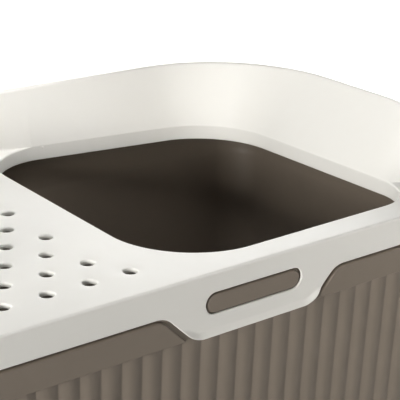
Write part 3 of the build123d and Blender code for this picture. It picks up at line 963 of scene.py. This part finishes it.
def collar_part():
    net = Net()
    fl = [flank(e + GAP) for e, d, a in RINGS]

    def long_side(side):
        """Columns from the lower end of the flank to the end of the long side; each a list over the rings."""
        cols_ = []
        for i in range(len(fl[0]) - 1, -1, -1):
            cols_.append([np.array([fl[k][i][0], side * (HW - RINGS[k][1]), DROP(fl[k][i][1])]) for k in range(8)])
        x0 = fl[0][0][0]
        for j in range(1, 8):
            x = x0 + (sx - x0) * j / 8
            cols_.append([np.array([x, side * (HW - d), DROP(28.8 + GAP + e)]) for e, d, a in RINGS])
        return cols_

    ends = [[Z3(p - d * n, DROP(28.8 + GAP + e)) for e, d, a in RINGS] for p, n in end_sts]
    f_cols, r_cols = long_side(-1), long_side(1)
    band_ = f_cols + ends + r_cols[::-1]
    net.grid([[c[k] for c in band_] for k in range(8)])
    # top edge to the embedded inner face
    DI = 5.0
    inner_top = []
    for c in f_cols:
        inner_top.append(np.array([c[0][0], -(HW - DI), c[0][2]]))
    for p, n in end_sts:
        inner_top.append(Z3(p - DI * n, DROP(28.8 + GAP)))
    for c in r_cols[::-1]:
        inner_top.append(np.array([c[0][0], HW - DI, c[0][2]]))
    net.grid([inner_top, [c[0] for c in band_]])
    # vertical rows at the end
    zs = [DROP(28.8 + GAP + BEVEL) + (Z_B - DROP(28.8 + GAP + BEVEL)) * k / 3 for k in range(4)]
    net.grid([[Z3(p, z) for p, n in end_sts] for z in zs])
    net.grid([[Z3(p - DI * n, z) for p, n in end_sts] for z in (DROP(28.8 + GAP), 294.0, COLLAR_Z)])

    # bottom path: point and plan normal
    def bottom_side(side):
        path = []
        n0 = np.array([-1.0, 0.0])
        path.append((np.array([fl[0][-1][0], side * (HW - DI)]), n0))
        for k, (e, d, a) in enumerate(RINGS):
            nn = np.array([-math.cos(a), side * math.sin(a)])
            path.append((np.array([fl[k][-1][0], side * (HW - d)]), nn))
        xe = fl[-1][-1][0]
        for j in range(1, 20):
            path.append((np.array([xe + (sx - xe) * j / 20, side * HW]), np.array([0.0, float(side)])))
        return path

    bf, br = bottom_side(-1), bottom_side(1)
    path = bf + [(p, n) for p, n in end_sts] + br[::-1]
    rows_ = []
    for k in range(4):
        b = math.pi / 2 * k / 3
        rows_.append([Z3(p - n * EDGE_B * (1 - math.cos(b)), Z_B - EDGE_B * math.sin(b)) for p, n in path])
    net.grid(rows_)
    low = rows_[-1]
    m = len(bf)
    inner_low = []
    for i, (p, n) in enumerate(path):
        if i < m:
            inner_low.append(np.array([low[i][0], -(HW - DI), COLLAR_Z]))
        elif i >= m + len(end_sts):
            inner_low.append(np.array([low[i][0], HW - DI, COLLAR_Z]))
        else:
            inner_low.append(Z3(p - DI * n, COLLAR_Z))
    # the first and last columns already lie on the inner face
    net.grid([low, inner_low])
    # flat faces of the long sides
    for side, cols_, bp in ((-1, f_cols, bf), (1, r_cols, br)):
        ringp = [c[-1] for c in cols_]
        endc = [np.array([sx, side * HW, z]) for z in zs]
        bott = [np.array([p[0], side * HW, Z_B]) for p, n in bp[9:]][::-1]
        loop_ = ringp + endc + bott
        net.flat([((p[0], p[2]), p) for p in loop_], [], lambda q, s_=side: (q[0], s_ * HW, q[1]))
        topi = [np.array([c[0][0], side * (HW - DI), c[0][2]]) for c in cols_]
        endi = [np.array([sx, side * (HW - DI), z]) for z in (DROP(28.8 + GAP), 294.0, COLLAR_Z)]
        seg = [np.array([rows_[k][0][0], side * (HW - DI), rows_[k][0][2]]) for k in range(4)]
        lowi = [np.array([low[i][0], side * (HW - DI), COLLAR_Z]) for i in range(1, m)]
        loop_ = topi + endi + lowi[::-1] + seg[::-1][:-1]
        net.flat([((p[0], p[2]), p) for p in loop_], [], lambda q, s_=side: (q[0], s_ * (HW - DI), q[1]))
    return net


right_net = collar_part()
collar_right = right_net.mesh("collar_right", smooth_deg=40)
left_net = Net()
left_net.v = [(-x, y, z) for x, y, z in right_net.v]
left_net.f = [f[::-1] for f in right_net.f]
collar_left = left_net.mesh("collar_left", smooth_deg=40)


# --------------------------------------------------------------------- catches
def catch(side, name):
    net = Net()
    st = stadium(51.3, 21.0, 38.7, n=18)
    R = 1.7
    prof = [(0.0, 190.2), (0.0, 194.3 - R)]
    prof += [(R * (1 - math.cos(a)), 194.3 - R + R * math.sin(a)) for a in [math.pi / 2 * k / 6 for k in range(1, 7)]]
    rows_ = [[np.array([x - g * nx, side * y, z - g * nz]) for x, z, nx, nz in st] for g, y in prof]
    net.grid(rows_, closed=True)
    for r_ in (rows_[0], rows_[-1]):
        net.flat([((p[0], p[2]), p) for p in r_], [], lambda q, y=r_[0][1]: (q[0], y, q[1]))
    return net.mesh(name, smooth_deg=40)


catch_f = catch(-1, "front_catch_boss")
catch_r = catch(1, "rear_catch_boss")

# gate mark: the low dome left by the mould's gate on the entry's rear flange
gate = Net()
G0, GN = np.array([6.84, 175.43, 334.4]), np.array([-0.152, -0.988, 0.0])
GU, GV = np.array([0.988, -0.152, 0.0]), np.array([0.0, 0.0, 1.0])
g_rows = []
for r, h in ((0.0, -0.6), (1.3, -0.6), (1.3, -0.1), (1.27, 0.12), (1.12, 0.3), (0.8, 0.43), (0.4, 0.5), (0.0, 0.52)):
    g_rows.append([G0 + GN * h + r * (GU * math.cos(2 * math.pi * k / 20) + GV * math.sin(2 * math.pi * k / 20))
                   for k in range(20)])
for a_, b_, tip_first in ((g_rows[1], g_rows[0][0], True), (g_rows[-2], g_rows[-1][0], False)):
    gate.fan(b_, a_ + a_[:1], flip=tip_first)
gate.grid(g_rows[1:-1], closed=True)
gate_ob = gate.mesh("gate_mark", smooth_deg=60)


# ------------------------------------------------------------------- materials
def nodes_of(mat):
    mat.use_nodes = True
    nt = mat.node_tree
    nt.nodes.clear()
    return nt


def plastic(name, light, dark, rough, grain, ior=1.49, sss=0.0):
    """Moulded plastic: faint mottling in colour and gloss, a fine mould grain and slow waviness."""
    mat = bpy.data.materials.new(name)
    nt = nodes_of(mat)
    N, L = nt.nodes, nt.links
    out = N.new("ShaderNodeOutputMaterial")
    b = N.new("ShaderNodeBsdfPrincipled")
    L.new(b.outputs[0], out.inputs[0])
    tc = N.new("ShaderNodeTexCoord")

    def noise(scale, detail=2.0, rough_=0.5):
        n = N.new("ShaderNodeTexNoise")
        n.inputs["Scale"].default_value = scale
        n.inputs["Detail"].default_value = detail
        n.inputs["Roughness"].default_value = rough_
        L.new(tc.outputs["Object"], n.inputs["Vector"])
        return n

    big, mid, fine = noise(5.0, 3.0), noise(60.0, 3.0, 0.6), noise(grain, 2.0, 0.7)
    mix = N.new("ShaderNodeMix")
    mix.data_type = "RGBA"
    mix.inputs[6].default_value = (*light, 1)
    mix.inputs[7].default_value = (*dark, 1)
    ramp = N.new("ShaderNodeMapRange")
    ramp.inputs["From Min"].default_value = 0.3
    ramp.inputs["From Max"].default_value = 0.7
    add = N.new("ShaderNodeMath")
    add.operation = "MULTIPLY_ADD"
    L.new(mid.outputs["Fac"], add.inputs[0])
    add.inputs[1].default_value = 0.35
    L.new(big.outputs["Fac"], add.inputs[2])
    sub = N.new("ShaderNodeMath")
    sub.operation = "SUBTRACT"
    L.new(add.outputs[0], sub.inputs[0])
    sub.inputs[1].default_value = 0.175
    L.new(sub.outputs[0], ramp.inputs["Value"])
    L.new(ramp.outputs[0], mix.inputs[0])
    L.new(mix.outputs[2], b.inputs["Base Color"])
    rr_ = N.new("ShaderNodeMapRange")
    rr_.inputs["From Min"].default_value = 0.3
    rr_.inputs["From Max"].default_value = 0.7
    rr_.inputs["To Min"].default_value = rough - 0.03
    rr_.inputs["To Max"].default_value = rough + 0.03
    L.new(mid.outputs["Fac"], rr_.inputs["Value"])
    L.new(rr_.outputs[0], b.inputs["Roughness"])
    b1 = N.new("ShaderNodeBump")
    b1.inputs["Strength"].default_value = 0.35
    b1.inputs["Distance"].default_value = 0.00003
    L.new(fine.outputs["Fac"], b1.inputs["Height"])
    b2 = N.new("ShaderNodeBump")
    b2.inputs["Strength"].default_value = 0.5
    b2.inputs["Distance"].default_value = 0.0004
    L.new(noise(16.0, 1.0).outputs["Fac"], b2.inputs["Height"])
    L.new(b2.outputs[0], b1.inputs["Normal"])
    L.new(b1.outputs[0], b.inputs["Normal"])
    b.inputs["IOR"].default_value = ior
    if sss:
        b.inputs["Subsurface Weight"].default_value = sss
        b.inputs["Subsurface Radius"].default_value = (1.0, 0.62, 0.38)
        b.inputs["Subsurface Scale"].default_value = 0.004
    return mat


lid_mat = plastic("lid_plastic", (0.838, 0.826, 0.785), (0.826, 0.812, 0.766), 0.42, 1500.0)
tub_mat = plastic("tub_plastic", (0.222, 0.184, 0.146), (0.209, 0.173, 0.137), 0.44, 1300.0)


def stage_mat(name, col):
    mat = bpy.data.materials.new(name)
    nt = nodes_of(mat)
    out = nt.nodes.new("ShaderNodeOutputMaterial")
    b = nt.nodes.new("ShaderNodeBsdfDiffuse")
    b.inputs[0].default_value = (*col, 1)
    nt.links.new(b.outputs[0], out.inputs[0])
    return mat


for ob in (lid_main, gate_ob, *pieces.values()):
    ob.data.materials.clear()
    ob.data.materials.append(lid_mat)
for ob in (tub_ob, collar_left, collar_right, catch_f, catch_r):
    ob.data.materials.clear()
    ob.data.materials.append(tub_mat)

# ---------------------------------------------------------- what rides on what
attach(tub_ob, "tub_body")
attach(collar_left, "tub_body")
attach(collar_right, "tub_body")
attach(catch_f, "tub_body")
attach(catch_r, "tub_body")
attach(lid_main, "lid_body")
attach(gate_ob, "lid_body")
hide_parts("tub")
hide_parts("front_latch_catch")
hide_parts("rear_latch_catch")
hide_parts("lid")
for word, y in (("front", -0.1952), ("rear", 0.1952)):
    body = f"{word}_tongue_body"
    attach(pieces[word, "centre"], body)
    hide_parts(f"{word}_latch_tongue")
    for part, s in (("left", -1), ("right", 1)):
        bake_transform(pieces[word, part])

# --------------------------------------------------------- floor, light, camera
scene = bpy.context.scene
fm = bpy.data.meshes.new("floor")
fm.from_pydata([(-12, -12, 0), (12, -12, 0), (12, 12, 0), (-12, 12, 0)], [], [(0, 1, 2, 3)])
floor = bpy.data.objects.new("floor", fm)
scene.collection.objects.link(floor)
floor.data.materials.append(stage_mat("floor_white", (0.7, 0.7, 0.7)))

WORLD = (1.0, (1.0, 1.0, 1.0))
LIGHTS = [
    ("soft_left", (-1.879, -0.684, 0.75), (0.0, 0.0, 0.36), 0.8, 0.4, 32.2, 180, (1.0, 0.985, 0.955)),
    ("soft_back", (0.0, 2.511, 0.953), (0.0, 0.0, 0.28), 1.3, 1.3, 35.6, 180, (1.0, 0.995, 0.975)),
    ("soft_back_right", (1.776, 1.776, 0.953), (0.0, 0.0, 0.28), 1.3, 1.3, 31.1, 180, (1.0, 0.995, 0.975)),
    ("front_strip", (-0.3, -2.2, 0.41), (0.0, 0.1, 0.37), 2.6, 0.10, 2.0, 180, (1.0, 0.97, 0.92)),
    ("overhead_left", (-0.40, -0.14, 1.15), (-0.2, 0.15, 0.35), 0.6, 0.25, 2.54, 180, (1.0, 1.0, 1.0)),
    ("overhead_mid", (0.0, -0.14, 1.15), (0.0, 0.15, 0.35), 0.6, 0.25, 1.16, 180, (1.0, 1.0, 1.0)),
    ("overhead_entry", (0.30, -0.10, 1.0), (-0.28, 0.17, 0.37), 0.25, 0.25, 0.38, 40, (1.0, 1.0, 1.0)),
    ("overhead_flange", (0.02, -0.55, 0.95), (0.02, 0.185, 0.385), 0.5, 0.1, 0.03, 24, (1.0, 0.95, 0.90)),
    ("overhead_right", (0.35, -0.30, 1.15), (0.25, -0.17, 0.34), 0.3, 0.25, 0.06, 60, (1.0, 1.0, 1.0)),
    ("front_low", (-0.2, -1.9, 0.45), (0.42, -0.195, 0.25), 0.5, 0.5, 0.62, 36, (1.0, 0.97, 0.92)),
    ("floor_pool", (1.35, 0.85, 1.6), (1.35, 0.85, 0.0), 0.8, 0.8, 7.0, 40, (1.0, 1.0, 1.0)),
    ("floor_wash_back", (0.0, 7.8, 3.0), (0.0, 7.8, 0.0), 28.0, 12.4, 1285.0, 50, (1.0, 1.0, 1.0)),
    ("floor_wash_front", (0.0, -7.8, 3.0), (0.0, -7.8, 0.0), 28.0, 12.4, 1285.0, 50, (1.0, 1.0, 1.0)),
    ("floor_wash_left", (-7.85, 0.0, 3.0), (-7.85, 0.0, 0.0), 12.3, 3.2, 146.0, 50, (1.0, 1.0, 1.0)),
    ("floor_wash_right", (7.85, 0.0, 3.0), (7.85, 0.0, 0.0), 12.3, 3.2, 146.0, 50, (1.0, 1.0, 1.0)),
]
world = bpy.data.worlds.new("studio")
scene.world = world
world.use_nodes = True
bg = world.node_tree.nodes["Background"]
bg.inputs[0].default_value = (*WORLD[1], 1)
bg.inputs[1].default_value = WORLD[0]
world.cycles_visibility.diffuse = False
world.cycles_visibility.glossy = False
for name, loc, aim, sx_, sy_, power, spread, col in LIGHTS:
    ld = bpy.data.lights.new(name, "AREA")
    ld.shape = "RECTANGLE"
    ld.size, ld.size_y = sx_, sy_
    ld.energy = power
    ld.spread = math.radians(spread)
    ld.color = col
    lo = bpy.data.objects.new(name, ld)
    lo.location = loc
    lo.rotation_mode = "QUATERNION"
    lo.rotation_quaternion = (Vector(aim) - Vector(loc)).to_track_quat("-Z", "Y")
    lo.visible_camera = False
    scene.collection.objects.link(lo)

cam_data = bpy.data.cameras.new("camera")
cam_data.sensor_width = 36.0
cam_data.lens = 111.37
cam_data.clip_start, cam_data.clip_end = 0.05, 60.0
cam = bpy.data.objects.new("camera", cam_data)
scene.collection.objects.link(cam)
fwd = Vector((0.56932, 0.74144, -0.35517)).normalized()
right = Vector((0.79719, -0.60346, 0.01811))
right = (right - fwd * right.dot(fwd)).normalized()
up = right.cross(fwd)
m = Matrix((right, up, -fwd)).transposed().to_4x4()
m.translation = Vector((-0.6298, -0.9343, 0.7591))
cam.matrix_world = m
scene.camera = cam
scene.view_settings.view_transform = "Standard"
